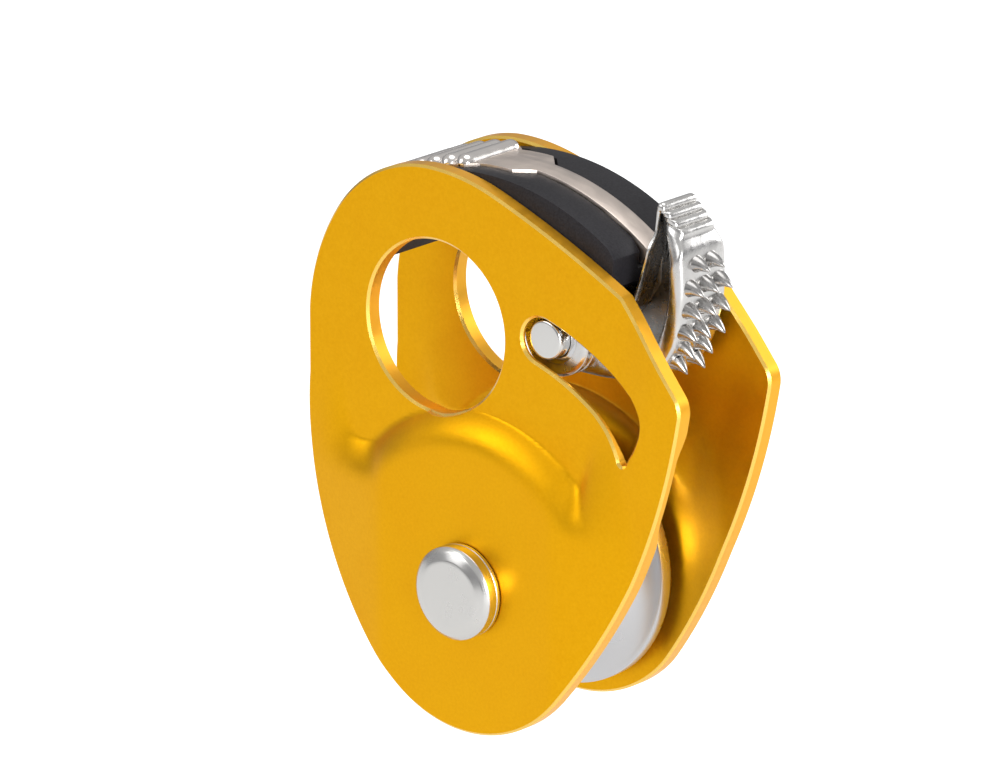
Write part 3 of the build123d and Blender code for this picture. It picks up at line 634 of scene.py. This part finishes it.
# ---- cam axle ---------------------------------------------------------------------------
# A polished steel pin riveted in the fixed plate, with a head behind it.  Its free end is
# rounded and stands in the mobile plate's slot.
pin_steel = Finish("pin_steel", (0.68, 0.67, 0.65), 1.0, 0.16)
pin_steel.emboss(pin_steel.rings((CAM_X * MM, CAM_Z * MM), 0.2), 0.0008)
pin_steel.roughen(pin_steel.noise(2.5), 0.12, 0.22)
pin_end = HALF_GAP + SHEET - 0.7
rear_face = HALF_GAP + SHEET
pin_profile = rounded([
    (0.02, -pin_end), (PIN_RADIUS - 0.15, -pin_end), (PIN_RADIUS, -pin_end + 0.5),
    (PIN_RADIUS, rear_face), (PIN_RADIUS + 1.2, rear_face + 0.01), (PIN_RADIUS + 1.2, rear_face + 0.6),
    (PIN_RADIUS + 0.6, rear_face + 1.0), (0.02, rear_face + 1.0)], 0.3)
pin_mesh = skin_mesh("cam_axle_finished", [ring_skin(turned(pin_profile, (CAM_X, CAM_Z), 64))])
place("cam_axle_finished", pin_mesh, "frame", "axle_steel", [pin_steel.material], ["cam_axle"])


# ---- cam --------------------------------------------------------------------------------
# Investment-cast stainless steel, tumbled bright.  An arm from the hub ends in a curved
# face with six rows of hooked spikes, under a ridged thumb end, and both sides are
# relieved by a deep pocket inside a polished rim.
CAM_HALF = 4.0
THUMB_HALF = 2.9
FACE_RUN = 46
RIDGES = 4
POCKET_RINGS = 3             # how many bands of the cam's skin lie on each pocket's floor


def cam_loops():
    """The cam's side view about its pivot, clockwise from the thumb's left corner, and the
    pocket's edge at the same steps: thumb ridges, toothed face, heel, arm and left rim."""
    line = np.linspace(11.9 + 16.75j, 15.3 + 13.4j, 40, endpoint=False)
    across = (15.3 + 13.4j) - (11.9 + 16.75j)
    bumps = np.abs(np.sin(np.arange(40) / 40 * np.pi * RIDGES)) ** 0.6
    ridges = line + 1j * across / abs(across) * 0.45 * bumps
    face = through([15.35 + 13.2j, 16.0 + 11.4j, 16.15 + 6.2j, 15.0 + 1.4j, 13.3 - 1.6j], FACE_RUN)
    heel = through([13.3 - 1.6j, 12.3 - 2.9j, 10.4 - 3.6j], 12)
    arm = through([10.4 - 3.6j, 5.5 - 4.3j, 1.0 - 4.4j], 16)
    inside = through([1.0 - 4.4j, -0.5 + 0j, 1.8 + 4.1j], 12)
    root = through([1.8 + 4.1j, 5.5 + 3.7j, 8.6 + 4.2j], 14)
    rim = through([8.6 + 4.2j, 9.7 + 6.9j, 11.1 + 11.2j, 11.55 + 14.6j, 11.75 + 16.6j], 34)
    outline = np.concatenate([ridges, face, heel, arm, inside, root, rim])
    top = through([12.15 + 15.6j, 12.5 + 15.6j, 12.9 + 14.6j], 40)
    front = through([12.95 + 14.4j, 14.1 + 8.8j, 13.7 + 5.0j, 12.65 + 1.4j, 11.6 - 0.6j], FACE_RUN)
    low = through([11.6 - 0.6j, 10.8 - 1.6j, 9.6 - 2.1j], 12)
    under = through([9.6 - 2.1j, 7.5 - 2.4j, 5.6 - 2.0j], 16)
    back = through([5.6 - 2.0j, 5.3 + 0j, 5.6 + 1.6j], 12)
    upper = through([5.6 + 1.6j, 7.6 + 2.6j, 9.4 + 4.4j], 14)
    left = through([9.4 + 4.4j, 10.3 + 6.9j, 11.6 + 11.2j, 11.95 + 14.0j, 12.12 + 15.5j], 34)
    pocket = np.concatenate([top, front, low, under, back, upper, left])
    return outline, pocket


def cam_body():
    """Rings from one pocket's floor over its rim and the face to the other pocket's floor.
    Each is a share of the way between the outline and the pocket's edge, at a share of
    the half width, which narrows to the thumb."""
    outline, pocket = cam_loops()
    half = np.full(len(outline), CAM_HALF)
    raised = np.clip((outline.imag - 11.4) / 2.6, 0, 1)
    half += (THUMB_HALF - CAM_HALF) * raised * raised * (3 - 2 * raised)
    middle = pocket.mean()
    sides = [
        (1.0, 0.5, 0.34), (1.0, 0.12, 0.36), (1.0, 0.0, 0.46), (0.97, 0.0, 0.86), (0.86, 0.0, 0.96),
        (0.70, 0.0, 1.0), (0.30, 0.0, 1.0), (0.12, 0.0, 0.965), (0.03, 0.0, 0.90), (0.0, 0.0, 0.80),
        (0.0, 0.0, 0.40), (0.0, 0.0, 0.0)]
    front = []
    for share, inward, depth in sides:
        loop = outline + (pocket - outline) * share
        loop = loop + (middle - loop) * inward
        front.append(np.stack([CAM_X + loop.real, -depth * half, CAM_Z + loop.imag], axis=-1))
    back = [ring * np.array([1, -1, 1]) for ring in front[-2::-1]]
    return np.stack(front + back)


def cam_spikes():
    """Short hooked cones in staggered rows.  A spike's centre line runs out from the face
    and bends down by the square of its length, and its radius shrinks to a blunt tip."""
    rows = ((33.0, (-1.2, 1.3)), (26.0, (-2.4, 0.1, 2.5)), (18.5, (-2.5, 0.0, 2.4)),
            (10.5, (-2.5, -0.1, 2.4)), (2.5, (-1.6, 1.5)), (-5.0, (-1.5, 1.6)))
    feet = []
    for angle, depths in rows:
        radius = np.interp(angle, [-10.5, 5.0, 20.0, 34.8], [12.7, 14.7, 17.0, 19.2])
        foot = polar(radius, angle)
        feet += [(foot.real, depth, foot.imag, angle) for depth in depths]
    feet = np.array(feet)
    lean = np.radians(feet[:, 3] * 0.55 - 6)
    out = np.stack([np.cos(lean), np.zeros(len(feet)), np.sin(lean)], axis=-1)
    up = np.stack([-np.sin(lean), np.zeros(len(feet)), np.cos(lean)], axis=-1)
    along = np.linspace(0, 1, 9)
    length, hook = 1.9, 0.95
    middle = feet[:, None, :3] + length * along[:, None] * out[:, None, :] \
        - hook * (along ** 2)[:, None] * up[:, None, :]
    turn = np.linspace(0, 2 * np.pi, 16, endpoint=False)
    thick = (1.05 * (1 - along) ** 0.75 + 0.10)[:, None]
    sideways = np.array([0.0, 1.0, 0.0]) * (thick * np.cos(turn))[..., None]
    upright = up[:, None, None, :] * (thick * np.sin(turn) * 0.92)[None, ..., None]
    rings = middle[:, :, None, :] + sideways[None] + upright
    rings = rings + np.array([CAM_X, 0, CAM_Z])
    return [ring_skin(spike) for spike in rings]


cast_steel = Finish("cast_steel", (0.64, 0.63, 0.615), 1.0, 0.24)
cast_steel.tint(cast_steel.noise(2.2, 4.0), (0.60, 0.59, 0.575), (0.68, 0.67, 0.655))
cast_steel.roughen(cast_steel.noise(1.4, 3.0), 0.18, 0.31)
cast_steel.emboss(cast_steel.noise(0.9, 3.0), 0.02)
hub_end = 6.2
bore = 3.1
hub_profile = rounded([
    (bore, -hub_end), (4.2, -hub_end), (4.6, -hub_end + 0.4), (4.6, -hub_end + 1.2), (4.35, -hub_end + 1.4),
    (4.6, -hub_end + 1.6), (4.6, hub_end - 1.6), (4.35, hub_end - 1.4), (4.6, hub_end - 1.2),
    (4.6, hub_end - 0.4), (4.2, hub_end), (bore, hub_end)], 0.12)
cam_rings = cam_body()
cam_skins = [ring_skin(cam_rings), ring_skin(turned(hub_profile, (CAM_X, CAM_Z), 72), True)]
# The pocket floors are the cam's steel painted much darker, as painted shade in the hollows.
pocket_painted_shade = Finish("cam_pocket_painted_shade", (0.20, 0.195, 0.19), 1.0, 0.26)
pocket_painted_shade.roughen(pocket_painted_shade.noise(1.0, 3.0), 0.2, 0.34)
# The spikes are the cam's steel painted darker, as painted shade among them.
spikes_painted_shade = Finish("cast_spikes_painted_shade", (0.40, 0.39, 0.38), 1.0, 0.24)
spikes_painted_shade.roughen(spikes_painted_shade.noise(0.8, 3.0), 0.18, 0.32)
cam_mesh = skin_mesh("cam_finished", cam_skins + cam_spikes(), 40)
bands, around = len(cam_rings) - 1, cam_rings.shape[1]
body_faces = (bands + 2) * around
kind = np.zeros(len(cam_mesh.polygons), dtype=np.int32)
# The bands on each pocket's floor take the painted shade.
kind[:POCKET_RINGS * around] = 1
kind[(bands - POCKET_RINGS) * around:body_faces] = 1
# The spikes take the darker steel of painted shade.
kind[body_faces + len(cam_skins[1][1]):] = 2
cam_mesh.polygons.foreach_set("material_index", kind)
place("cam_finished", cam_mesh, "cam", "cast_steel",
      [cast_steel.material, pocket_painted_shade.material, spikes_painted_shade.material], ["cam"])
machined("cam_bush", "cam", "bearing_steel", [ground_steel.material], 0.08)

spring_steel = Finish("spring_steel", (0.48, 0.47, 0.46), 1.0, 0.28)
spring_steel.roughen(spring_steel.noise(0.6), 0.22, 0.34)
for coil in ("cam_spring", "catch_spring"):
    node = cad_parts[coil]
    node.data.materials.clear()
    node.data.materials.append(spring_steel.material)


# ---- catch ------------------------------------------------------------------------------
# A satin steel strip, blanked and bent, rocks on a pin in the block.  Its wide end carries
# a ridged thumb pad, polished where the thumb lies, and its narrow end holds the cam up.
satin_strip = Finish("satin_strip", (0.70, 0.61, 0.545), 1.0, 0.34)
satin_strip.tint(satin_strip.noise(3.0, 3.0), (0.66, 0.575, 0.515), (0.74, 0.645, 0.575))
satin_strip.roughen(satin_strip.noise(0.8, 2.0, (0.15, 1, 1)), 0.28, 0.42)
satin_strip.emboss(satin_strip.noise(0.3, 2.0, (0.1, 1, 1)), 0.002)
machined("catch_lever", "catch", "catch_steel", [satin_strip.material], 0.16)

BLOCK_CENTRE = -0.9 + 14.65j
BLOCK_RADIUS = 32.25
PAD_HALF = 4.9
PAD_TOP = 1.3                # above the block's arc


def pad_ridges(count=5, start=96.5, end=116.5):
    """Rounded bars across the pad, evenly spaced round the block's arc.  Each is a circle
    carried along Y, which shrinks to a round end by the square root of one minus a square."""
    step = (end - start) / count
    radius = 0.5 * math.radians(step) * BLOCK_RADIUS
    places = polar(BLOCK_RADIUS + PAD_TOP - radius, start + (np.arange(count) + 0.5) * step, BLOCK_CENTRE)
    along = np.sin(np.linspace(-np.pi / 2, np.pi / 2, 33)) * PAD_HALF
    tuck = np.clip((np.abs(along) - (PAD_HALF - radius)) / radius, 0, 0.99)
    thick = radius * np.sqrt(1 - tuck * tuck)
    turn = np.linspace(0, 2 * np.pi, 28, endpoint=False)
    skins = []
    for spot in places:
        x = spot.real + thick[:, None] * np.cos(turn)
        z = spot.imag + thick[:, None] * np.sin(turn)
        skins.append(ring_skin(np.stack([x, np.broadcast_to(along[:, None], x.shape), z], axis=-1)))
    return skins


polished = Finish("polished_pad", (0.74, 0.70, 0.67), 1.0, 0.18)
polished.roughen(polished.noise(1.5, 3.0), 0.13, 0.25)
polished.emboss(polished.noise(0.8, 2.0), 0.004)
place("button_finished", skin_mesh("button_finished", pad_ridges(), 45), "catch", "catch_steel",
      [polished.material], ["catch_button"])
machined("catch_pivot_pin", "frame", "axle_steel", [pin_steel.material], 0.1)
